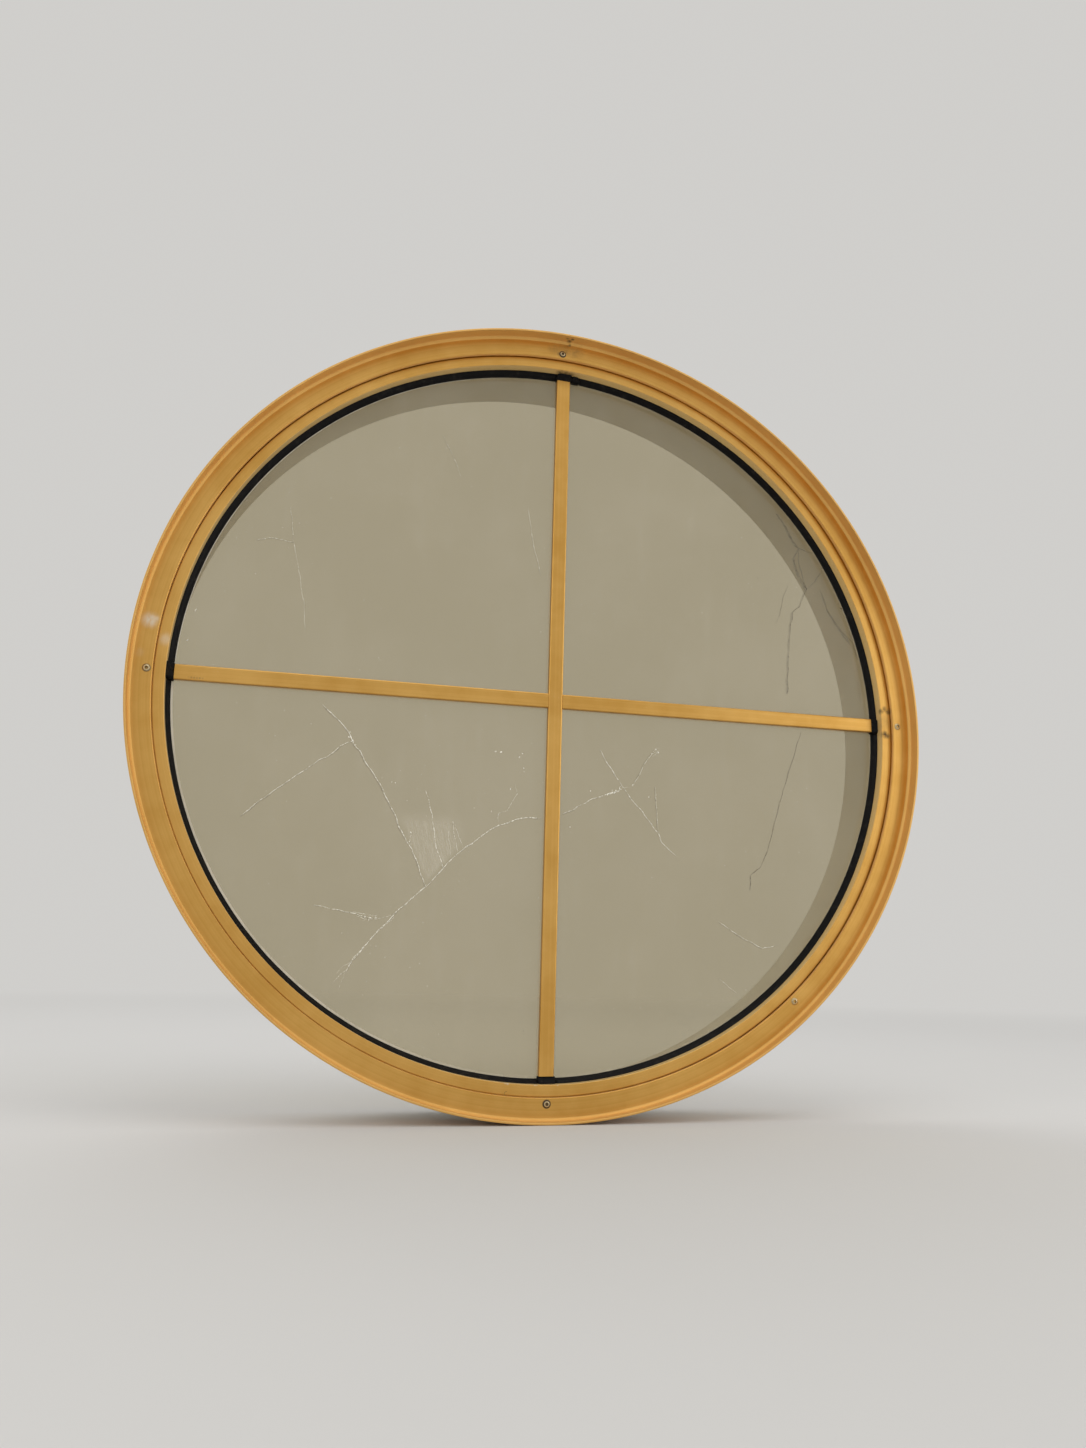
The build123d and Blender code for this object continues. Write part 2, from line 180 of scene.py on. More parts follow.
# Pane's faces, and the routes of its cracks: strength, lean in millimetres, then points (x, z)
GLASS_FRONT = 23.4
GLASS_BACK = 29.4
CRACKS = (
    (1.0, 1.5, ((-5.3, -132.2), (-18.5, -132.9), (-34.4, -136.3), (-53.9, -144), (-61.6, -148.6),
        (-96.7, -175.4), (-113.3, -193.2), (-130.9, -213), (-144, -225.6), (-160.7, -241.4),
        (-169.5, -251.6), (-177.8, -259.7), (-191.9, -276.9), (-202.8, -290.3), (-209.7, -303.5))),
    (0.45, 0.8, ((-160.7, -241.4), (-171.3, -246.5), (-183.6, -249))),
    (0.7, -0.8, ((-163.2, -246.8), (-180.9, -263.2), (-196.3, -282.2), (-207.6, -295.5))),
    (0.75, -1.2, ((18.5, -127), (30.1, -122.5), (40.7, -115), (55.9, -107.2), (72.2, -100.9),
        (83.9, -97.6), (87.6, -91.1))),
    (0.85, 1.3, ((61.8, -51), (70, -64.7), (80.3, -79.2), (87.6, -89.4), (98.7, -104.7),
        (114.3, -121.4), (131.7, -143.3), (135.4, -153.6), (152.8, -167.5))),
    (1.0, -1.6, ((-251.4, -22.5), (-238.9, -34.3), (-227.3, -44.2), (-221.2, -52.1), (-216.3, -62.5),
        (-208.3, -72.1), (-203.6, -80.6), (-193.9, -93.1), (-186.6, -103.6), (-180.6, -115.2),
        (-173.5, -126.8), (-166.4, -140.5), (-162, -151.7), (-148.6, -173), (-139.5, -192.3),
        (-130.9, -212.7))),
    (0.75, 1.2, ((-216.5, -59.9), (-229.5, -67.3), (-242, -79.5), (-252.5, -83.9), (-263.9, -94.1),
        (-289.6, -114.8), (-312.3, -133.7), (-327.2, -148))),
    (0.9, 1.2, ((-135.7, -109.9), (-131.5, -123.3), (-127.6, -138.4), (-123.3, -159.4),
        (-120.6, -172.7), (-113.2, -192.8))),
    (0.4, 0.6, ((-105.1, -141.6), (-101.5, -158.8), (-97.6, -174.9))),
    (0.3, 0.6, ((-109.1, -146.1), (-107.4, -162.4), (-105, -180.6))),
    (0.35, 0.6, ((-102.8, -143.1), (-97.2, -157.5), (-92, -170.3))),
    (0.5, 0.4, ((-149.4, -156.9), (-150.1, -164.5), (-148.1, -171.9))),
    (0.35, 0.8, ((-35.9, -96.5), (-33.4, -107.6), (-39.4, -118), (-44.8, -126.1), (-54.4, -131.1),
        (-54.1, -139.9))),
    (0.75, -1.0, ((-246.5, -236.7), (-229.6, -239.1), (-210.4, -243), (-203, -244.7), (-183.6, -249.4))),
    (0.5, 0.5, ((-208.9, -242.1), (-196.4, -243.7), (-180.7, -245.8))),
    (0.4, 0.5, ((-202.4, -246.5), (-191.9, -249.7), (-180.5, -248.9))),
    (0.5, -0.6, ((128.6, -89.8), (130.5, -111.7), (131.6, -132.4), (132.2, -144.9))),
    (0.4, 0.8, ((87.1, -93.5), (101.2, -90.3), (116.7, -63.1), (124.4, -51.3), (132, -47.2))),
    (0.4, 0.4, ((122.2, -55), (128.3, -45.1), (133.2, -43.6), (129.5, -51), (124.6, -54.8))),
    (0.4, 1.2, ((-335.2, 158.2), (-317.2, 163.1), (-295.9, 160.2), (-287.2, 126), (-279.9, 93.2),
        (-276.3, 60.4))),
    (0.35, 1.0, ((-295.9, 160.2), (-301.5, 202.3))),
    (0.35, 1.0, ((-29.6, 236), (-21.7, 190.6), (-12.4, 152.9))),
    (0.3, 1.0, ((-135.4, 315.1), (-122.1, 291.3), (-111.5, 264.5))),
    (0.7, -1.3, ((293.3, 271.5), (304.4, 253.2), (313.4, 236), (321.4, 227.5), (313.9, 211.8),
        (316.2, 198.7), (322.6, 187.5), (329.7, 173), (321.3, 154.9), (319.1, 148.8), (310, 141.3),
        (305.9, 123.3), (303, 97.8), (300.8, 73.3), (299.5, 56), (298.8, 35.1))),
    (0.5, 0.8, ((321.4, 227.5), (319.5, 213.8), (324.3, 195.7), (329.7, 173))),
    (0.5, 0.8, ((321.4, 227.5), (328, 233.7), (331.4, 235.5))),
    (0.4, 0.6, ((322.8, 227.7), (333.7, 223.6), (340.6, 223.1))),
    (0.6, 1.0, ((329.7, 173), (341.7, 184.3), (350.6, 197.9))),
    (0.45, 0.8, ((304.1, 175.2), (297, 158.2), (292.3, 138.1), (287.9, 126))),
    (0.6, 1.2, ((348.7, 174.4), (356.7, 148.8), (370.9, 127.8), (386.5, 107.1))),
    (0.45, 0.8, ((356.7, 148.8), (374.8, 123), (390.8, 110.1), (396.5, 87.2))),
    (0.75, 1.3, ((315.4, -10.1), (308.2, -29.8), (285.3, -95.6), (267.1, -156.8), (256.6, -176.6),
        (245, -185.6), (243.3, -203.4))),
    (0.55, -1.0, ((204.8, -240.7), (217.6, -248.8), (235.7, -258.3), (257.8, -267.9), (277.6, -263.9))),
    (0.45, 1.0, ((202.5, -302.5), (223.4, -317.8))),
    (0.4, 0.5, ((-209.7, -303.5), (-213.6, -312.4), (-215.4, -321.0))),
    (0.35, 0.5, ((-206.8, -299.0), (-214.9, -305.9), (-221.2, -313.8))),
    (0.3, 0.5, ((-204.6, -293.4), (-212.0, -297.2), (-218.6, -304.7))),
    (0.35, 0.3, ((-180.4, -244.9), (-186.0, -247.8), (-190.2, -252.6))),
    (0.35, 0.3, ((-185.6, -244.3), (-190.0, -247.2), (-195.3, -251.9))),
)

# Distance between a crack's points, in metres
CRACK_STEP = 0.0022

# A crack's lips: points over which they taper, their width at the ends, and how flat they are
LIP_TAPER = 5
LIP_END = 0.25
LIP_FLATNESS = 0.22

# How a crack's line strays: scales of its broad and its fine noise, and the fine noise's share
CRACK_NOISE = (90.0, 420.0, 0.35)

# Factors that waver along a crack: mean, swing, and the noise's scale
LEAN_WAVER = (0.6, 0.8, 60.0)
LIP_WAVER = (0.75, 0.75, 330.0)

# Sides of the haze between two cracks: a point, the direction inwards, and the width of the fade
HAZE_SIDES = (
    ((-0.1653, -0.1404), (0.907, 0.421), 0.008),
    ((-0.1317, -0.2127), (-0.753, 0.658), 0.005),
    ((-0.086, -0.128), (0.0, -1.0), 0.024),
    ((-0.086, -0.128), (-1.0, 0.0), 0.026),
)

# Chips on the pane's front face: radius in millimetres, then x and z. Each is narrower one way,
# and turned by a noise
CHIPS = (
    (1.7, -217.5, -60.5), (1.3, -221.5, -56.5), (1.4, -213.8, -64.5), (1.0, -220.8, -50.8),
    (0.9, -188.2, -102.2), (0.7, -183.6, -99.0), (0.8, -172.7, -102.7), (0.7, -168.9, -103.4),
    (1.2, -149.5, -156.5), (1.0, -150.5, -166.0), (1.0, -130.9, -212.0), (0.9, -104.0, -143.0),
    (1.2, -41.5, -102.4), (1.0, -26.7, -81.7), (1.4, -32.3, -65.6), (1.3, -28.9, -61.3),
    (1.0, -27.0, -78.0), (0.9, -54.2, -132.0), (0.9, -62.0, -128.5), (1.6, -60.0, -61.2),
    (1.6, -53.5, -61.4), (1.8, 74.0, -100.8), (1.6, 79.0, -99.4), (1.8, 84.5, -96.6),
    (1.2, 76.5, -96.8), (1.2, 51.1, -99.1), (0.9, 27.6, -141.2), (1.2, 120.8, -101.8),
    (1.0, 124.5, -50.5), (1.2, 129.5, -45.5), (1.2, 132.4, -49.0), (1.0, 100.8, -89.0),
    (1.0, 264.0, 180.9), (1.3, 351.5, 203.5), (1.6, 376.5, 152.5), (1.2, 316.5, 197.0),
    (2.0, -187.6, -248.3), (1.6, -193.4, -246.9), (1.3, -182.0, -247.4), (1.0, 298.9, 38.0),
    (1.2, 299.9, 42.0), (1.7, -391.5, 70.5), (1.4, -397.0, 36.0), (1.9, 76.5, -99.6),
    (1.7, 81.5, -97.4), (1.5, 71.0, -101.9), (1.5, 86.2, -94.8),
)
CHIP_WIDTH = 0.6
CHIP_NOISE = 500.0

# Dabs of sealant: start, bar's middle, end, and the section's front corners at the bar and the bead
DABS = {
    "sealant_right": (-1.193, 0.332, 1.579, 17.4, 13.6),
    "sealant_top": (85.792, 88.703, 89.95, 17.2, 11.8),
    "sealant_left": (178.564, 180.089, 181.405, 17.2, 7.4),
    "sealant_bottom": (269.31, 270.557, 272.221, 17.4, 13.2),
}
DAB_INNER = 406.1
DAB_OUTER = 413.3
DAB_BESIDE = 408.6
DAB_CUTS = 4
DAB_STEPS = 44
DAB_NOISE = 260.0

# A dab's crest: its radius, its depth behind the mean of both corners, and its rounding
DAB_CREST = (409.6, 0.4, 1.6)

# How much of its height a dab loses beside the bar and at its ends, and from where towards its ends
SINK_SHARE = 0.35
SINK_OVER_GASKET = 0.25
SINK_START = 0.6
SINK_GAP = 0.4

# Heights above the pane and distances from the bead at which a dab is free to swell
FREE_HEIGHT = 3.0
FREE_DISTANCE = 2.0

# Where a dab narrows beside the bar: distance from the bar's middle, and the length of the change
BESIDE_START = 8.65
BESIDE_LENGTH = 1.8

# The top dab's lump beside the bar: angle, half its length, the change's length, and its own inset
LUMP_ANGLE = 86.55
LUMP_HALF = 3.4
LUMP_CHANGE = 1.2
LUMP_INSET = 0.45

# Millimetres round the ring in one degree, at the dabs
MM_PER_DEGREE = 7.2

# Floor in metres: gap under the window, radius, and where it fades into the background
FLOOR_GAP = 0.0002
FLOOR_RADIUS = 12.0
FLOOR_FADE = (1.2, 5.0)

# Camera, from the photograph's own geometry
CAMERA_PLACE = (-0.2776, -1.1004, -0.2955)
CAMERA_AZIMUTH = -13.588
CAMERA_ELEVATION = -13.142
CAMERA_ROLL = 1.229
CAMERA_LENS = 26.0


def length_property(name, description, default):
    """A length in metres that a user may change."""
    return FloatProperty(name=name, description=description, default=default, unit="LENGTH")


def colour_property(name, description, default):
    """A colour that a user may change."""
    return FloatVectorProperty(name=name, description=description, default=default, subtype="COLOR")


class RoundWindowSizes(bpy.types.PropertyGroup):
    """Sizes that the fine shapes follow."""

    steps: IntProperty(
        name="Steps", description="Steps in one full turn of a rolled piece",
        default=360, min=48, max=720,
    )
    arris_cuts: IntProperty(
        name="Arris cuts", description="Cuts in each rounded edge of an extrusion",
        default=3, min=1, max=6,
    )
    gasket_wander: length_property(
        "Gasket wander", "How far the gasket's nose strays from its circle", 0.00035
    )
    dab_swell: length_property(
        "Dab swell", "How far a dab of sealant bulges from its plain section", 0.0009
    )
    crack_opening: length_property(
        "Crack opening", "Width meant for the strongest crack inside the pane", 0.00018
    )
    crack_lip: length_property(
        "Crack lip", "Half the width of the strongest crack's chipped edge on the pane's face", 0.00055
    )
    crack_wander: length_property(
        "Crack wander", "How far a crack strays from its route", 0.0012
    )


class RoundWindowColours(bpy.types.PropertyGroup):
    """Colours of the finishes."""

    gold: colour_property("Gold", "Anodised aluminium where it is clean", (0.78, 0.46, 0.130))
    gold_deep: colour_property(
        "Deep gold", "Anodised aluminium where the film is thicker", (0.66, 0.355, 0.080)
    )
    # The pale gold is painted light: a painted highlight on the bead's inner wall and a paler rim, and
    # also a paler band on the lip's wall
    gold_pale: colour_property(
        "Pale gold", "Anodised aluminium where the film is worn", (0.92, 0.66, 0.29)
    )
    # The orange gold is painted light on the rim's inner wall, in place of the darker reflection it
    # would show
    gold_orange: colour_property("Orange gold", "Inner wall of the rim", (0.86, 0.53, 0.17))
    # This colour is dirt, and also the painted shade in and round the rivets' heads
    grime_and_shade: colour_property("Grime", "Dirt round the rivets and in the dark marks", (0.045, 0.026, 0.012))
    chalk: colour_property("Chalk", "Pale smears and dust", (0.74, 0.68, 0.56))
    aluminium: colour_property(
        "Aluminium", "Bare aluminium of the rivets and the joint's plate", (0.62, 0.49, 0.28)
    )
    rubber: colour_property("Rubber", "Gasket and sealant", (0.0035, 0.003, 0.003))
    paint: colour_property("Paint", "Painted lining hoop", (0.76, 0.73, 0.66))
    # The tint is painted shade: darker and browner than clear glass, for a shaded room behind the pane
    glass: colour_property("Glass", "Tint of the pane", (0.53, 0.47, 0.32))
    backdrop: colour_property("Backdrop", "Floor and background", (0.63, 0.62, 0.60))


class Signal:
    """An output in a node tree. Arithmetic on it adds Math nodes."""

    def __init__(self, recipe, socket):
        self.recipe = recipe
        self.socket = socket

    def maths(self, operation, *values):
        return self.recipe.node("ShaderNodeMath", {"operation": operation}, dict(enumerate(values)))

    def __add__(self, other):
        return self.maths("ADD", self, other)

    def __sub__(self, other):
        return self.maths("SUBTRACT", self, other)

    def __rsub__(self, other):
        return self.maths("SUBTRACT", other, self)

    def __mul__(self, other):
        return self.maths("MULTIPLY", self, other)

    def __pow__(self, other):
        return self.maths("POWER", self, other)

    __radd__ = __add__
    __rmul__ = __mul__

    def larger(self, other):
        return self.maths("MAXIMUM", self, other)


class Recipe:
    """The node tree of a material or a world, and what adds nodes to it."""

    def __init__(self, owner):
        owner.use_nodes = True
        self.owner = owner
        self.tree = owner.node_tree
        self.tree.nodes.clear()

    def node(self, kind, settings=None, inputs=None, output=0):
        """Adds a node: its settings first, then values or links for its sockets."""
        made = self.tree.nodes.new(kind)
        for key, value in (settings or {}).items():
            setattr(made, key, value)
        for key, value in (inputs or {}).items():
            if isinstance(value, Signal):
                self.tree.links.new(value.socket, made.inputs[key])
            else:
                made.inputs[key].default_value = value
        return Signal(self, made.outputs[output]) if made.outputs else None

    def place(self):
        """Object coordinates, which are the window's own."""
        return self.node("ShaderNodeTexCoord", output=3)

    def parts(self, vector):
        """X, Y and Z of a vector."""
        first = self.node("ShaderNodeSeparateXYZ", inputs={0: vector})
        return [Signal(self, output) for output in first.socket.node.outputs]

    def vector(self, x, y, z):
        return self.node("ShaderNodeCombineXYZ", inputs={0: x, 1: y, 2: z})

    def stretched(self, vector, factors):
        return self.node("ShaderNodeVectorMath", {"operation": "MULTIPLY"}, {0: vector, 1: factors})

    def noise(self, vector, scale, detail, roughness=0.5):
        sockets = {"Vector": vector, "Scale": scale, "Detail": detail, "Roughness": roughness}
        return self.node("ShaderNodeTexNoise", inputs=sockets)

    def rise(self, value, low, high):
        """0 below low, 1 above high, smooth between them."""
        sockets = {"Value": value, "From Min": low, "From Max": high}
        settings = {"interpolation_type": "SMOOTHSTEP"}
        return self.node("ShaderNodeMapRange", settings, sockets)

    def band(self, value, start, whole_from, whole_to, end):
        """1 between the two inner limits, 0 outside the outer ones."""
        return self.rise(value, start, whole_from) * (1 - self.rise(value, whole_to, end))

    def distance(self, place, centre):
        return self.node("ShaderNodeVectorMath", {"operation": "DISTANCE"}, {0: place, 1: centre}, 1)

    def near(self, place, centre, inner, outer):
        """1 within the inner distance of a point, 0 past the outer one."""
        return 1 - self.rise(self.distance(place, centre), inner, outer)

    def patches(self, place, table):
        """Soft round patches on the ring, by the rows of MARKS or SMEARS."""
        share = 0.0
        for angle, radius, depth, outer, strength in table:
            patch = self.near(place, on_circle(angle, radius, depth), 0.0, outer * MM)
            share = (patch * strength).larger(share)
        return share

    def blend(self, factor, first, second):
        """Mix of two colours."""
        settings = {"data_type": "RGBA", "clamp_factor": True}
        return self.node("ShaderNodeMix", settings, {0: factor, 6: first, 7: second}, 2)

    def bump(self, height, distance, strength):
        sockets = {"Strength": strength, "Distance": distance, "Height": height}
        return self.node("ShaderNodeBump", inputs=sockets)

    def principled(self, **sockets):
        names = [key.replace("_", " ").title().replace("Ior", "IOR") for key in sockets]
        return self.node("ShaderNodeBsdfPrincipled", inputs=dict(zip(names, sockets.values())))

    def mixed(self, factor, first, second):
        """Mix of two shaders."""
        return self.node("ShaderNodeMixShader", inputs={0: factor, 1: first, 2: second})

    def surface(self, shader):
        """Ends the tree and gives its material."""
        self.node("ShaderNodeOutputMaterial", inputs={"Surface": shader})
        return self.owner

    def skin(self, **sockets):
        """Ends the tree with one Principled shader and gives its material."""
        return self.surface(self.principled(**sockets))


def finish(name):
    """Recipe of a new material, and its place coordinates."""
    recipe = Recipe(bpy.data.materials.new(name))
    return recipe, recipe.place()


def opaque(colour):
    return (*colour, 1.0)


def on_circle(angle, radius, depth=0.0):
    """Point at an angle, a radius and a depth in millimetres, in metres."""
    turn = math.radians(angle)
    return Vector((radius * math.cos(turn), depth, radius * math.sin(turn))) * MM


def mesh_of(name, bm):
    """Turns a bmesh into a mesh and frees it."""
    mesh = bpy.data.meshes.new(name)
    bm.to_mesh(mesh)
    bm.free()
    return mesh


def add_object(name, data):
    """A new object in the scene."""
    made = bpy.data.objects.new(name, data)
    bpy.context.scene.collection.objects.link(made)
    return made


def link(name, bm, material, nodes=(), sharp=35.0):
    """Makes a finished piece of a bmesh and places it on the frame."""
    mesh = mesh_of(name, bm)
    mesh.shade_smooth()
    mesh.set_sharp_from_angle(angle=math.radians(sharp))
    mesh.materials.append(material)
    piece = add_object(name, mesh)
    even_shading(piece)
    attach(piece, "root")
    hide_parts(*nodes)
    return piece


def even_shading(piece):
    """Shades wide faces flat and keeps the turn of the light in the narrow rounds beside them."""
    modifier = piece.modifiers.new("even_shading", "WEIGHTED_NORMAL")
    modifier.mode = "FACE_AREA"
    modifier.keep_sharp = True


def section_face(bm, corners, angle, cuts):
    """Draws a section on its half plane, with its corners rounded."""
    verts = [bm.verts.new(on_circle(angle, radius, depth)) for radius, depth, _ in corners]
    bm.faces.new(verts)
    for vert, (_, _, rounding) in zip(verts, corners):
        if rounding:
            bmesh.ops.bevel(
                bm, geom=[vert], offset=rounding * MM, offset_type="OFFSET", segments=cuts,
                profile=0.5, affect="VERTICES", material=-1,
            )


def turned(corners, start, end, cuts, steps):
    """Turns a section round the window's axis and closes its ends."""
    bm = bmesh.new()
    section_face(bm, corners, start, cuts)
    whole = abs(end - start) == 360
    if whole:
        bmesh.ops.delete(bm, geom=bm.faces[:], context="FACES_ONLY")
    bmesh.ops.spin(
        bm, geom=bm.faces[:] + bm.edges[:] + bm.verts[:], cent=(0, 0, 0), axis=(0, -1, 0),
        angle=math.radians(end - start), steps=steps, use_merge=whole,
    )
    bmesh.ops.recalc_face_normals(bm, faces=bm.faces[:])
    return bm


def rolled(corners, start, end, sizes):
    """Turns a section with the steps and cuts of the rolled pieces."""
    steps = max(2, round(sizes.steps * (end - start) / 360))
    return turned(corners, start, end, sizes.arris_cuts, steps)


def merge_doubles(bm):
    bmesh.ops.remove_doubles(bm, verts=bm.verts[:], dist=MERGE_DISTANCE)


def cut(piece, cutters):
    """Cuts closed shapes out of a piece and applies the cut."""
    mesh = mesh_of("cutters", cutters)
    tool = add_object("cutters", mesh)
    piece.modifiers.clear()
    modifier = piece.modifiers.new("holes", "BOOLEAN")
    modifier.operation = "DIFFERENCE"
    modifier.solver = "EXACT"
    modifier.object = tool
    bpy.context.view_layer.update()
    seen = piece.evaluated_get(bpy.context.evaluated_depsgraph_get())
    plain = piece.data
    piece.data = bpy.data.meshes.new_from_object(seen)
    piece.modifiers.clear()
    even_shading(piece)
    bpy.data.objects.remove(tool)
    bpy.data.meshes.remove(mesh)
    bpy.data.meshes.remove(plain)


def ring_parts(recipe, place):
    """X, depth, Z, and the radius from the window's axis."""
    x, depth, z = recipe.parts(place)
    return x, depth, z, (x * x + z * z) ** 0.5


def anodised(run, colours):
    """Satin gold film over the die's fine lines, with dark marks, smears and dust, painted shade round
    the rivets, and painted light on the bead's inner wall and the rim.

    The lines run round the ring, up the upright bar or along the level bar.
    """
    recipe, place = finish(f"anodised_gold_{run}")
    x, depth, z, radius = ring_parts(recipe, place)
    across = {"ring": radius, "bar_vertical": x, "bar_horizontal": z}[run]
    lines = recipe.noise(recipe.vector(across, depth, 0.0), 2600.0, 3.0, 0.6)
    broad_lines = recipe.noise(recipe.vector(across, depth, 3.0), 420.0, 1.0)
    cloud = recipe.noise(place, 7.0, 3.0, 0.6)
    mottle = recipe.noise(place, 55.0, 4.0, 0.65)
    tone = recipe.rise(cloud * 0.55 + mottle * 0.2 + broad_lines * 0.25, 0.34, 0.66)
    colour = recipe.blend(tone, opaque(colours.gold_deep), opaque(colours.gold))

    # Painted light: a painted highlight on the bead's inner wall, the rim paler to soften its
    # reflections, and the rim's inner wall orange and less metallic in place of the dark reflection it
    # would show. The lip's wall is paler as well
    bead_wall = recipe.band(radius, *BEAD_WALL) * recipe.rise(depth, *BEAD_WALL_FRONT)
    lip_wall = recipe.band(radius, *LIP_WALL) * recipe.band(depth, *LIP_WALL_DEPTH)
    rim = recipe.rise(radius, *RIM_START)
    rim_wall = recipe.band(radius, *RIM_WALL) * 0.5
    colour = recipe.blend(rim_wall, colour, opaque(colours.gold_orange))
    pale = (bead_wall * 0.75).larger(lip_wall * 0.6).larger(rim * 0.12)
    colour = recipe.blend(pale, colour, opaque(colours.gold_pale))
    lightened = pale.larger(rim_wall)

    speckle = recipe.noise(place, 900.0, 2.0, 0.7)
    dust = recipe.rise(speckle, 0.66, 0.74) * recipe.rise(mottle, 0.45, 0.62)
    smear_noise = recipe.noise(recipe.stretched(place, (1.0, 1.0, 0.6)), 110.0, 3.0, 0.6)
    smears = recipe.patches(place, SMEARS) * recipe.rise(smear_noise, 0.22, 0.62)
    chalky = smears.larger(dust * 0.3)
    colour = recipe.blend(chalky, colour, opaque(colours.chalk))

    grime_noise = recipe.noise(place, 150.0, 3.0, 0.6)
    grime_and_shade = recipe.patches(place, MARKS) * (0.45 + recipe.rise(grime_noise, 0.32, 0.68) * 0.55)
    away = recipe.distance(place, SCRATCH_CENTRE)
    scratch = away.maths("COMPARE", away, SCRATCH_RADIUS, SCRATCH_HALF)
    scratch = scratch * (1 - recipe.rise(x, *SCRATCH_LEFT_HALF))
    grime_and_shade = grime_and_shade.larger(scratch * 0.5)
    # Painted shade, with some grime, in a ring round each rivet's head on the gold
    for angle, darkening in RIVETS:
        ring = recipe.near(place, on_circle(angle, RIVET_CIRCLE), *RIVET_GRIME_AND_SHADE_RING)
        grime_and_shade = grime_and_shade.larger(ring * darkening * 0.9)
    colour = recipe.blend(grime_and_shade, colour, opaque(colours.grime_and_shade))

    roughness = 0.30 + tone * 0.06 + lines * 0.08 + chalky * 0.25 + grime_and_shade * 0.3 + rim * 0.18
    metallic = 1 - chalky.larger(grime_and_shade).larger(lightened) * 0.85
    height = lines * 0.6 + broad_lines * 0.4 + chalky * 0.5
    return recipe.skin(
        base_color=colour,
        metallic=metallic,
        roughness=roughness,
        normal=recipe.bump(height, 0.00003, 0.5),
    )


def bare_metal(name, colour, colours, roughness, riveted=False):
    """Plain metal with fine scratches and dark spots, and painted shade with some soiling in the rivets'
    mouths and round the edges of their heads.
    """
    recipe, place = finish(name)
    scratches = recipe.noise(recipe.stretched(place, (1.0, 6.0, 1.0)), 700.0, 3.0, 0.6)
    spots = recipe.rise(recipe.noise(place, 420.0, 4.0, 0.7), 0.56, 0.72)
    dark = spots * 0.5
    if riveted:
        x, _, z = recipe.parts(place)
        # Painted shade, with some grime, in each rivet's mouth and along the edge of its head
        for angle, darkening in RIVETS:
            centre = on_circle(angle, RIVET_CIRCLE)
            away = ((x - centre.x) ** 2 + (z - centre.z) ** 2) ** 0.5
            mine = 1 - recipe.rise(away, *RIVET_REACH)
            mouth = 1 - recipe.rise(away, 0.0014, 0.0018 + darkening * 0.0003)
            rim = recipe.rise(away, 0.0032 - darkening * 0.0008, 0.0036 - darkening * 0.0004)
            dark = dark.larger(mine * mouth).larger(mine * rim * min(1.0, darkening + 0.1))
    shade = recipe.blend(dark, opaque(colour), opaque(colours.grime_and_shade))
    return recipe.skin(
        base_color=shade,
        metallic=1 - dark * 0.8,
        roughness=roughness + scratches * 0.12 + dark * 0.2,
        normal=recipe.bump(scratches, 0.00002, 0.4),
    )


def rubbery(name, colours, roughness, dust_share):
    """Black rubber or sealant with dust on it."""
    recipe, place = finish(name)
    skin = recipe.noise(place, 900.0, 3.0, 0.6)
    patches = recipe.noise(place, 130.0, 4.0, 0.7)
    dust = recipe.rise(patches, 0.5, 0.75) * dust_share + recipe.rise(skin, 0.68, 0.76) * dust_share
    colour = recipe.blend(dust, opaque(colours.rubber), opaque(colours.chalk))
    return recipe.skin(
        base_color=colour,
        specular_ior_level=0.12,
        roughness=roughness + patches * 0.15 + dust * 0.4,
        normal=recipe.bump(skin * 0.5 + patches * 0.5, 0.00008, 0.5),
    )


def painted_timber(colours):
    """Off-white gloss paint over timber, slightly yellowed, with brush marks round the hoop."""
    recipe, place = finish("painted_timber")
    _, depth, _, radius = ring_parts(recipe, place)
    brush = recipe.noise(recipe.vector(radius, depth, 0.0), 900.0, 3.0, 0.6)
    cloud = recipe.noise(place, 6.0, 4.0, 0.6)
    scuff = recipe.rise(recipe.noise(place, 90.0, 5.0, 0.75), 0.62, 0.74)
    aged = opaque([value * share for value, share in zip(colours.paint, (0.9, 0.86, 0.76))])
    colour = recipe.blend(recipe.rise(cloud, 0.35, 0.7), opaque(colours.paint), aged)
    colour = recipe.blend(scuff * 0.35, colour, opaque(colours.grime_and_shade))
    return recipe.skin(
        base_color=colour,
        roughness=0.42 + cloud * 0.15 + scuff * 0.2,
        normal=recipe.bump(brush * 0.6 + scuff * -0.6, 0.00012, 0.5),
    )


def plain_filler(name, colour, colours, roughness):
    """Foam tape, plastic block or spacer: matt, with a fine grain and a little dirt."""
    recipe, place = finish(name)
    grain = recipe.noise(place, 1500.0, 3.0, 0.6)
    darkening = recipe.rise(recipe.noise(place, 70.0, 4.0, 0.7), 0.52, 0.72)
    shade = recipe.blend(darkening * 0.4, opaque(colour), opaque(colours.grime_and_shade))
    return recipe.skin(
        base_color=shade,
        roughness=roughness + grain * 0.1,
        normal=recipe.bump(grain, 0.00006, 0.5),
    )


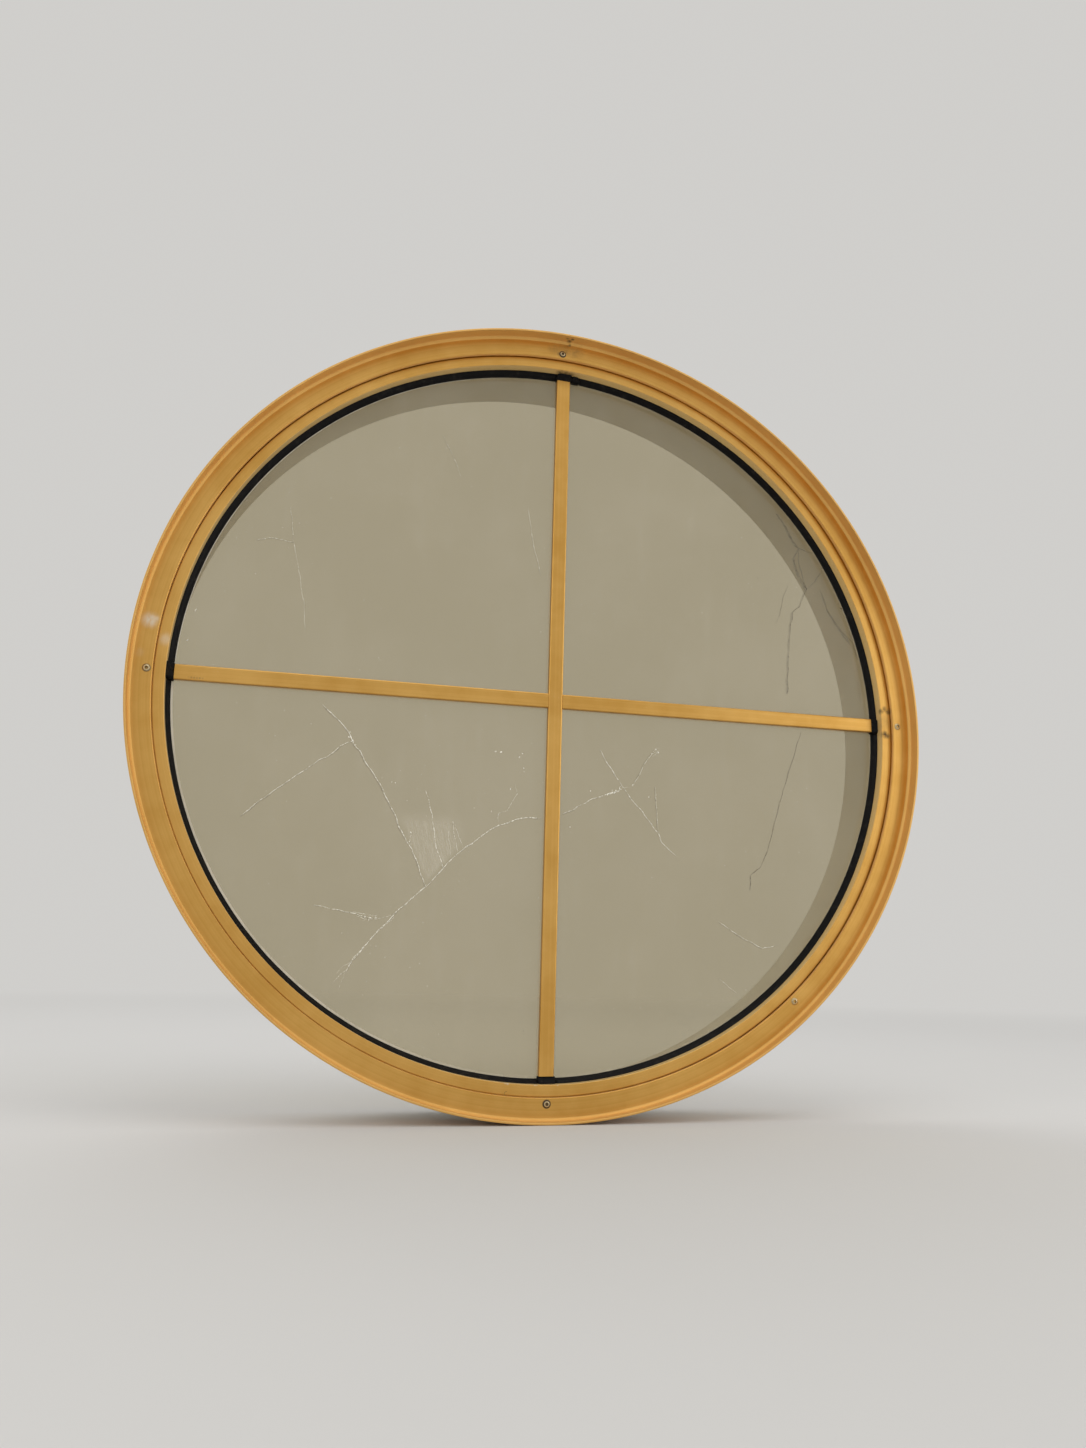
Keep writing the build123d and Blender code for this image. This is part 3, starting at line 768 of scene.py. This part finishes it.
def pane_finish(colours):
    """Float glass, tinted darker and browner as painted shade, with a film of dust, specks, a pale line
    beside the gaskets, and haze between two of the cracks.
    """
    recipe, place = finish("cracked_glass")
    cloud = recipe.noise(place, 5.0, 4.0, 0.65)
    streaks = recipe.noise(recipe.stretched(place, (1.0, 1.0, 0.16)), 60.0, 4.0, 0.7)
    specks = recipe.rise(recipe.noise(place, 520.0, 1.0, 0.5), 0.76, 0.79)
    film = 0.04 + recipe.rise(cloud, 0.35, 0.75) * 0.07 + recipe.rise(streaks, 0.5, 0.8) * 0.05
    x, depth, z, radius = ring_parts(recipe, place)

    hackle = recipe.noise(recipe.vector(x + z * 0.27, z * 0.12, 0.0), 420.0, 4.0, 0.7)
    haze = 0.08 + recipe.rise(hackle, 0.36, 0.66) * 0.17
    for (at_x, at_z), (across_x, across_z), width in HAZE_SIDES:
        haze = haze * recipe.rise((x - at_x) * across_x + (z - at_z) * across_z, 0.0, width)

    # A pale line on the pane just inside the gaskets, strong at the left and fainter towards the right
    pale_rim_line = 0.3 + recipe.rise(streaks + cloud, 0.7, 1.1) * 0.5
    pale_rim_line = pale_rim_line * recipe.rise(radius, 0.4060, 0.4070)
    pale_rim_line = pale_rim_line * (1 - recipe.rise(x, -0.30, -0.02) * 0.8)
    film = film + haze + specks * 0.5 + pale_rim_line
    film = film * (1 - recipe.rise(depth, 0.0240, 0.0250))
    # The glass's tint, darker and browner than clear glass, is painted shade
    glass = recipe.principled(
        base_color=opaque(colours.glass),
        roughness=0.0,
        ior=1.52,
        transmission_weight=1.0,
    )
    dust = recipe.principled(base_color=opaque(colours.chalk), roughness=0.8)
    body = recipe.mixed(film, glass, dust)
    shadow = recipe.node("ShaderNodeLightPath", output="Is Shadow Ray")
    clear = recipe.node("ShaderNodeBsdfTransparent", inputs={"Color": opaque(colours.glass)})
    return recipe.surface(recipe.mixed(shadow, body, clear))


def painted_dark_at_right(recipe, place, pale, dark):
    """Painted shade: the cracks before the pale lining at the right are coloured dark, as they look
    against it, and the others are coloured pale.
    """
    x, _, z = recipe.parts(place)
    right = recipe.rise(x, 0.17, 0.25) * recipe.rise(z, -0.235, -0.205)
    return recipe.blend(right, opaque(pale), opaque(dark))


def crack_finish():
    """Broken faces inside the pane, almost clear in places."""
    recipe, place = finish("crack_faces")
    broken = recipe.noise(place, 210.0, 4.0, 0.75)
    shown = recipe.rise(broken, 0.40, 0.62)
    # The crack faces are coloured dark at the right as painted shade, and pale elsewhere
    return recipe.skin(
        base_color=painted_dark_at_right(recipe, place, (0.50, 0.47, 0.38), (0.10, 0.08, 0.05)),
        roughness=0.35 + broken * 0.3,
        alpha=0.10 + shown * 0.25,
        normal=recipe.bump(broken, 0.0001, 0.6),
    )


def lip_finish():
    """Chipped edges of the cracks on the pane's face, which glint here and there."""
    recipe, place = finish("crack_lips")
    broken = recipe.noise(place, 200.0, 3.0, 0.7)
    fine = recipe.noise(place, 800.0, 2.0, 0.6)
    shown = recipe.rise(broken * 0.45 + fine * 0.55, 0.42, 0.56)
    # The lips are coloured dark at the right as painted shade, and pale elsewhere
    return recipe.skin(
        base_color=painted_dark_at_right(recipe, place, (0.93, 0.89, 0.76), (0.13, 0.10, 0.06)),
        roughness=0.3 + fine * 0.3,
        alpha=0.18 + shown * 0.82,
        normal=recipe.bump(fine, 0.0001, 0.5),
    )


def gasket_section(nose):
    """Wedge with a rounded shoulder under the bead, a shallow groove and a thin nose on the pane."""
    return (
        (GASKET_SHOULDER, GASKET_FRONT, 0.8),
        (GASKET_OUTER, GASKET_FRONT, 0.0),
        (GASKET_OUTER, GASKET_BACK, 0.0),
        (nose, GASKET_BACK, 0.0),
        (nose, GASKET_BACK - 0.9, 0.3),
        (nose + 1.3, GASKET_BACK - 2.2, 0.6),
        (nose + 1.9, GASKET_BACK - 3.4, 0.5),
        (GASKET_SHOULDER - 1.4, GASKET_FRONT + 1.6, 0.8),
    )


def stray(bm, distance, scale, seed, moves):
    """Moves vertices a little, by a noise. moves says how far each may go, from 0 to 1.

    The noise has no seed set, so Blender seeds it anew and the moves differ from run to run.
    """
    for vert in bm.verts:
        share = moves(vert.co)
        if share:
            place = vert.co * scale + Vector((seed, seed, seed))
            vert.co += noise.noise_vector(place) * distance * share


def turn_between(first, second):
    """Turn from the second angle to the first, from -pi to pi."""
    return (first - second + math.pi) % math.tau - math.pi


def clamped(value):
    return max(0.0, min(1.0, value))


def dab(name, sizes, seed):
    """One dab of sealant between a bar's end and the bead, lumpy, narrower beside the bar."""
    start, bar, end, bar_front, bead_front = DABS[name]
    crest, crest_depth, crest_rounding = DAB_CREST
    corners = (
        (DAB_INNER, bar_front, 1.2),
        (crest, (bar_front + bead_front) / 2 + crest_depth, crest_rounding),
        (DAB_OUTER, bead_front, 0.5),
        (DAB_OUTER, GLASS_FRONT, 0.0),
        (DAB_INNER, GLASS_FRONT, 0.0),
    )
    bm = turned(corners, start, end, DAB_CUTS, DAB_STEPS)
    middle = math.radians((start + end) / 2)
    half = math.radians((end - start) / 2)
    inset_share = (DAB_OUTER - DAB_BESIDE) / (DAB_OUTER - DAB_INNER)

    for vert in bm.verts:
        radius = math.hypot(vert.co.x, vert.co.z) / MM
        turn = math.atan2(vert.co.z, vert.co.x)
        from_bar = abs(turn_between(turn, math.radians(bar))) * radius
        from_lump = abs(math.degrees(turn) - LUMP_ANGLE) * MM_PER_DEGREE
        lump = max(LUMP_INSET, (from_lump - LUMP_HALF) / LUMP_CHANGE)
        beside = clamped(min((from_bar - BESIDE_START) / BESIDE_LENGTH, lump))
        inset = DAB_OUTER - (DAB_OUTER - radius) * inset_share
        wanted = radius + (inset - radius) * beside
        vert.co.x *= wanted / radius
        vert.co.z *= wanted / radius
        edge = max(0.0, abs(turn_between(turn, middle)) / half - SINK_START) / (1 - SINK_START)
        sink = SINK_SHARE * (beside + edge ** 2) * (GLASS_FRONT - vert.co.y / MM)
        above_gasket = max(0.0, GASKET_FRONT - SINK_GAP - vert.co.y / MM)
        vert.co.y += min(sink, above_gasket + sink * SINK_OVER_GASKET) * MM

    def free(place):
        """How free of the pane and the bead a point is, from 0 to 1."""
        radius = math.hypot(place.x, place.z) / MM
        off_pane = (GLASS_FRONT - place.y / MM) / FREE_HEIGHT
        off_bead = (DAB_OUTER - radius) / FREE_DISTANCE
        return clamped(min(off_pane, off_bead))

    stray(bm, sizes.dab_swell, DAB_NOISE, seed, free)
    return bm


def crack_line(route, sizes, seed):
    """Points along a crack on the pane's face, strayed a little from its route, anew each run."""
    corners = [Vector((x, GLASS_FRONT, z)) * MM for x, z in route]
    broad_scale, fine_scale, fine_share = CRACK_NOISE
    line = []
    for first, second in zip(corners, corners[1:]):
        pieces = max(2, round((second - first).length / CRACK_STEP))
        line += [first.lerp(second, step / pieces) for step in range(pieces)]
    line.append(corners[-1])
    for point in line[1:-1]:
        broad = noise.noise_vector(point * broad_scale + Vector((seed, 0.0, 0.0)))
        fine = noise.noise_vector(point * fine_scale + Vector((0.0, 0.0, seed)))
        move = (broad + fine * fine_share) * sizes.crack_wander
        point += Vector((move.x, 0.0, move.z))
    return line


def wavering(place, waver, seed=0.0):
    """A factor that wavers from place to place."""
    mean, swing, scale = waver
    return mean + swing * noise.noise(place * scale + Vector((0.0, 0.0, seed)))


def crack_wall(line, strength, lean, sizes, seed):
    """One crack's wall: its line, drawn through the pane with a lean.

    Its two sides lie on each other: solidify adds no thickness, as the faces have no normals yet.
    """
    bm = bmesh.new()
    verts = [bm.verts.new(point) for point in line]
    edges = [bm.edges.new(pair) for pair in zip(verts, verts[1:])]
    drawn = bmesh.ops.extrude_edge_only(bm, edges=edges)["geom"]
    side = (line[-1] - line[0]).cross(Vector((0.0, 1.0, 0.0))).normalized()
    for vert in (element for element in drawn if isinstance(element, bmesh.types.BMVert)):
        vert.co += side * lean * wavering(vert.co, LEAN_WAVER, seed) * MM
        vert.co.y = GLASS_BACK * MM
    bmesh.ops.solidify(bm, geom=bm.faces[:], thickness=sizes.crack_opening * strength)
    bmesh.ops.recalc_face_normals(bm, faces=bm.faces[:])
    return bm


def lips(lines, sizes):
    """Beaded edges of all the cracks: tubes along their lines, pressed flat on the pane's face."""
    curve = bpy.data.curves.new("lips", "CURVE")
    curve.dimensions = "3D"
    curve.bevel_depth = sizes.crack_lip
    curve.bevel_resolution = 1
    curve.use_fill_caps = True
    for strength, line in lines:
        spline = curve.splines.new("POLY")
        spline.points.add(len(line) - 1)
        for index, (point, place) in enumerate(zip(spline.points, line)):
            point.co = (*place, 1.0)
            to_end = min(index, len(line) - 1 - index)
            taper = min(1.0, LIP_END + to_end / LIP_TAPER)
            point.radius = strength * taper * wavering(place, LIP_WAVER)
    tube = bpy.data.objects.new("lips", curve)
    mesh = bpy.data.meshes.new_from_object(tube)
    bm = bmesh.new()
    bm.from_mesh(mesh)
    bpy.data.objects.remove(tube)
    bpy.data.curves.remove(curve)
    bpy.data.meshes.remove(mesh)
    for radius, x, z in CHIPS:
        place = Vector((x, GLASS_FRONT, z)) * MM
        turn = Matrix.Rotation(noise.noise(place * CHIP_NOISE) * math.pi, 4, "Y")
        stretch = Matrix.Diagonal((CHIP_WIDTH, 1.0, 1.0, 1.0))
        where = Matrix.Translation(place) @ turn @ stretch
        bmesh.ops.create_icosphere(bm, subdivisions=1, radius=radius * MM, matrix=where)
    flat = Matrix.Diagonal((1.0, LIP_FLATNESS, 1.0, 1.0))
    face = Matrix.Translation((0.0, GLASS_FRONT * MM, 0.0))
    bmesh.ops.transform(bm, matrix=face @ flat @ face.inverted(), verts=bm.verts[:])
    merge_doubles(bm)
    bmesh.ops.recalc_face_normals(bm, faces=bm.faces[:])
    return bm


def fine_copy(node, material):
    """Copy of a CAD node's mesh with its doubles merged, so that its rounds shade smoothly."""
    bm = bmesh.new()
    bm.from_mesh(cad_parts[node].data)
    merge_doubles(bm)
    link(f"{node}_fine", bm, material, [node], sharp=40.0)


def show_node(node, material):
    """Gives a CAD node its material."""
    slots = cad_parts[node].data.materials
    slots.clear()
    slots.append(material)


class WindowOperator:
    """What every piece's operator shares."""

    bl_options = {"REGISTER", "UNDO"}

    def execute(self, context):
        self.make(context.scene.round_window_sizes, context.scene.round_window_colours)
        return {"FINISHED"}


class ROUNDWINDOW_OT_frame(WindowOperator, bpy.types.Operator):
    """Roll the frame, drill its joint's two holes and give it its gold film"""

    bl_idname = "round_window.frame"
    bl_label = "Frame"

    def make(self, sizes, colours):
        gold = anodised("ring", colours)
        bm = rolled(FRAME_SECTION, BUTT_ANGLE + BUTT_HALF, BUTT_ANGLE + 360 - BUTT_HALF, sizes)
        piece = link("frame_ring_fine", bm, gold, ["frame_ring"])
        holes = bmesh.new()
        for angle in PIN_ANGLES:
            outwards = on_circle(angle, 1.0).normalized()
            turn = outwards.to_track_quat("Z", "X").to_matrix().to_4x4()
            where = Matrix.Translation(on_circle(angle, PIN_RADIUS, PIN_DEPTH)) @ turn
            bmesh.ops.create_cone(
                holes, cap_ends=True, segments=PIN_SEGMENTS, radius1=PIN_HOLE * MM,
                radius2=PIN_HOLE * MM, depth=PIN_CUT_LENGTH * MM, matrix=where,
            )
        cut(piece, holes)


class ROUNDWINDOW_OT_bead(WindowOperator, bpy.types.Operator):
    """Roll the glazing bead's long length and the short one that closes it"""

    bl_idname = "round_window.bead"
    bl_label = "Glazing bead"

    def make(self, sizes, colours):
        gold = bpy.data.materials["anodised_gold_ring"]
        for node, (start, end) in BEAD_LENGTHS.items():
            bm = rolled(BEAD_SECTION, start, end, sizes)
            link(f"{node}_fine", bm, gold, [node])


class ROUNDWINDOW_OT_rivets(WindowOperator, bpy.types.Operator):
    """Turn the blind rivets, each with its mandrel's stub in the mouth"""

    bl_idname = "round_window.rivets"
    bl_label = "Rivets"

    def make(self, sizes, colours):
        metal = bare_metal("rivet_aluminium", colours.aluminium, colours, 0.30, riveted=True)
        bm = bmesh.new()
        for angle, _ in RIVETS:
            centre = on_circle(angle, RIVET_CIRCLE)
            outwards = centre.normalized()
            verts = [
                bm.verts.new(centre + outwards * radius * MM + Vector((0, depth * MM, 0)))
                for radius, depth in RIVET_SECTION
            ]
            edges = [bm.edges.new(pair) for pair in zip(verts, verts[1:])]
            bmesh.ops.spin(
                bm, geom=verts + edges, cent=centre, axis=(0, -1, 0), angle=math.tau,
                steps=RIVET_STEPS, use_merge=True,
            )
        merge_doubles(bm)
        bmesh.ops.recalc_face_normals(bm, faces=bm.faces[:])
        link("bead_rivets_fine", bm, metal, ["bead_rivets"])


class ROUNDWINDOW_OT_bars(WindowOperator, bpy.types.Operator):
    """Finish the two crossed bars and their tapes"""

    bl_idname = "round_window.bars"
    bl_label = "Crossed bars"

    def make(self, sizes, colours):
        for node in ("bar_vertical", "bar_horizontal"):
            fine_copy(node, anodised(node, colours))
        tape = plain_filler("bar_tape", (0.05, 0.05, 0.048), colours, 0.7)
        for node in ("bar_tape_vertical", "bar_tape_horizontal"):
            show_node(node, tape)


class ROUNDWINDOW_OT_pane(WindowOperator, bpy.types.Operator):
    """Finish the pane and put its cracks through it"""

    bl_idname = "round_window.pane"
    bl_label = "Cracked pane"

    def make(self, sizes, colours):
        show_node("glass_pane", pane_finish(colours))
        walls = bmesh.new()
        lines = []
        for index, (strength, lean, route) in enumerate(CRACKS):
            seed = index * 7.3
            line = crack_line(route, sizes, seed)
            lines.append((strength, line))
            mesh = mesh_of("wall", crack_wall(line, strength, lean, sizes, seed))
            walls.from_mesh(mesh)
            bpy.data.meshes.remove(mesh)
        link("glass_cracks", walls, crack_finish())
        link("crack_lips", lips(lines, sizes), lip_finish())


class ROUNDWINDOW_OT_gaskets(WindowOperator, bpy.types.Operator):
    """Roll the wedge gasket's four lengths"""

    bl_idname = "round_window.gaskets"
    bl_label = "Gaskets"

    def make(self, sizes, colours):
        rubber = rubbery("black_gasket", colours, 0.42, 0.018)

        def nose_only(place):
            near_nose = math.hypot(place.x, place.z) / MM < GASKET_NOSE_REACH
            return 1.0 if near_nose and place.y / MM < GASKET_BACK - 0.01 else 0.0

        for seed, (node, (start, end, nose)) in enumerate(GASKETS.items()):
            bm = rolled(gasket_section(nose), start, end, sizes)
            stray(bm, sizes.gasket_wander, GASKET_NOISE, seed * 5.1, nose_only)
            link(f"{node}_fine", bm, rubber, [node])


class ROUNDWINDOW_OT_sealant(WindowOperator, bpy.types.Operator):
    """Lay the four dabs of sealant at the bars' ends"""

    bl_idname = "round_window.sealant"
    bl_label = "Sealant"

    def make(self, sizes, colours):
        black = rubbery("black_sealant", colours, 0.45, 0.015)
        for seed, node in enumerate(DABS):
            bm = dab(node, sizes, 11.0 + seed * 3.7)
            link(f"{node}_fine", bm, black, [node], sharp=60.0)


class ROUNDWINDOW_OT_reveal(WindowOperator, bpy.types.Operator):
    """Make the painted lining hoop behind the pane"""

    bl_idname = "round_window.reveal"
    bl_label = "Lining hoop"

    def make(self, sizes, colours):
        bm = rolled(REVEAL_SECTION, 0.0, 360.0, sizes)
        link("reveal_hoop_fine", bm, painted_timber(colours), ["reveal_hoop"])


class ROUNDWINDOW_OT_hidden(WindowOperator, bpy.types.Operator):
    """Finish the tape, blocks, spacers, and the plate and pins of the hoop's joint"""

    bl_idname = "round_window.hidden"
    bl_label = "Hidden pieces"

    def make(self, sizes, colours):
        show_node("inner_gasket", plain_filler("glazing_tape", (0.035, 0.035, 0.034), colours, 0.75))
        blocks = plain_filler("block_plastic", (0.05, 0.07, 0.11), colours, 0.5)
        show_node("setting_blocks", blocks)
        show_node("edge_spacers", blocks)
        show_node("frame_joint_key", bare_metal("mill_aluminium", colours.aluminium, colours, 0.36))
        show_node("frame_joint_pins", bare_metal("steel_pins", (0.42, 0.41, 0.39), colours, 0.4))


class ROUNDWINDOW_OT_studio(WindowOperator, bpy.types.Operator):
    """Set up the floor, the background, the soft lights and the camera"""

    bl_idname = "round_window.studio"
    bl_label = "Studio"

    def make(self, sizes, colours):
        scene = bpy.context.scene
        scene.view_settings.view_transform = "Standard"
        self.floor(colours)
        self.world(colours)
        self.lamp("key", (3.1, -2.0, 0.8), 2.0, 26.0)
        self.lamp("side", (-2.9, -1.6, 1.3), 2.0, 14.0)
        self.lamp("top", (0.2, -1.2, 3.2), 2.2, 22.0)
        self.lamp("rear", (-0.8, 2.4, 2.9), 2.2, 22.0)
        self.camera()

    def floor(self, colours):
        bm = bmesh.new()
        level = min(corner.z for corner in cad_box) - FLOOR_GAP
        place = Matrix.Translation((0.0, 0.0, level))
        bmesh.ops.create_circle(bm, cap_ends=True, segments=96, radius=FLOOR_RADIUS, matrix=place)
        mesh = mesh_of("floor", bm)
        recipe, ground = finish("floor")
        shade = recipe.noise(ground, 3.0, 3.0, 0.6)
        colour = [value * 0.98 for value in colours.backdrop]
        tint = recipe.blend(shade, opaque(colours.backdrop), opaque(colour))
        solid = recipe.principled(base_color=tint, roughness=0.9)
        nearby = recipe.near(ground, (0.0, 0.0, level), *FLOOR_FADE)
        glow = recipe.node("ShaderNodeEmission", inputs={"Color": opaque(colours.backdrop)})
        shown = recipe.mixed((1 - nearby) * self.seen(recipe), solid, glow)
        mesh.materials.append(recipe.surface(shown))
        add_object("floor", mesh)

    def seen(self, recipe):
        """1 for rays from the camera, and for what metal and glass show of the background."""
        rays = ("Is Camera Ray", "Is Glossy Ray", "Is Transmission Ray")
        camera, glossy, transmitted = [recipe.node("ShaderNodeLightPath", output=ray) for ray in rays]
        return camera.larger(glossy).larger(transmitted)

    def world(self, colours):
        recipe = Recipe(bpy.data.worlds.new("studio"))
        bpy.context.scene.world = recipe.owner
        soft = recipe.node("ShaderNodeBackground", inputs={"Color": (1, 1, 1, 1), "Strength": 0.75})
        sockets = {"Color": opaque(colours.backdrop), "Strength": 1.0}
        shown = recipe.node("ShaderNodeBackground", inputs=sockets)
        both = recipe.mixed(self.seen(recipe), soft, shown)
        recipe.node("ShaderNodeOutputWorld", inputs={"Surface": both})

    def lamp(self, name, place, size, power):
        """A square soft lamp that points at the window's middle."""
        light = bpy.data.lights.new(name, "AREA")
        light.shape = "SQUARE"
        light.size = size
        light.energy = power
        lamp = add_object(name, light)
        lamp.location = place
        lamp.visible_camera = False
        lamp.visible_transmission = False
        lamp.rotation_euler = (-Vector(place)).to_track_quat("-Z", "Y").to_euler()

    def camera(self):
        data = bpy.data.cameras.new("camera")
        data.sensor_width = 36.0
        data.lens = CAMERA_LENS
        data.clip_start = 0.01
        camera = add_object("camera", data)
        azimuth = Matrix.Rotation(math.radians(CAMERA_AZIMUTH), 4, "Z")
        elevation = Matrix.Rotation(math.radians(90.0 - CAMERA_ELEVATION), 4, "X")
        roll = Matrix.Rotation(math.radians(CAMERA_ROLL), 4, "Z")
        camera.matrix_world = Matrix.Translation(CAMERA_PLACE) @ azimuth @ elevation @ roll
        bpy.context.scene.camera = camera


OPERATORS = (
    ROUNDWINDOW_OT_frame,
    ROUNDWINDOW_OT_bead,
    ROUNDWINDOW_OT_rivets,
    ROUNDWINDOW_OT_bars,
    ROUNDWINDOW_OT_pane,
    ROUNDWINDOW_OT_gaskets,
    ROUNDWINDOW_OT_sealant,
    ROUNDWINDOW_OT_reveal,
    ROUNDWINDOW_OT_hidden,
    ROUNDWINDOW_OT_studio,
)


class ROUNDWINDOW_PT_panel(bpy.types.Panel):
    """Panel that lists the pieces"""

    bl_label = "Round window"
    bl_idname = "ROUNDWINDOW_PT_panel"
    bl_space_type = "VIEW_3D"
    bl_region_type = "UI"
    bl_category = "Round window"

    def draw(self, context):
        for group in (context.scene.round_window_sizes, context.scene.round_window_colours):
            for name in group.__annotations__:
                self.layout.prop(group, name)
        for operator in OPERATORS:
            self.layout.operator(operator.bl_idname)


CLASSES = (RoundWindowSizes, RoundWindowColours, *OPERATORS, ROUNDWINDOW_PT_panel)


def register():
    for cls in CLASSES:
        bpy.utils.register_class(cls)
    bpy.types.Scene.round_window_sizes = PointerProperty(type=RoundWindowSizes)
    bpy.types.Scene.round_window_colours = PointerProperty(type=RoundWindowColours)


def unregister():
    del bpy.types.Scene.round_window_colours
    del bpy.types.Scene.round_window_sizes
    for cls in reversed(CLASSES):
        bpy.utils.unregister_class(cls)


def main():
    """Makes every piece and the studio."""
    register()
    bpy.ops.round_window.frame()
    bpy.ops.round_window.bead()
    bpy.ops.round_window.rivets()
    bpy.ops.round_window.bars()
    bpy.ops.round_window.pane()
    bpy.ops.round_window.gaskets()
    bpy.ops.round_window.sealant()
    bpy.ops.round_window.reveal()
    bpy.ops.round_window.hidden()
    bpy.ops.round_window.studio()


if __name__ == "__main__":
    main()
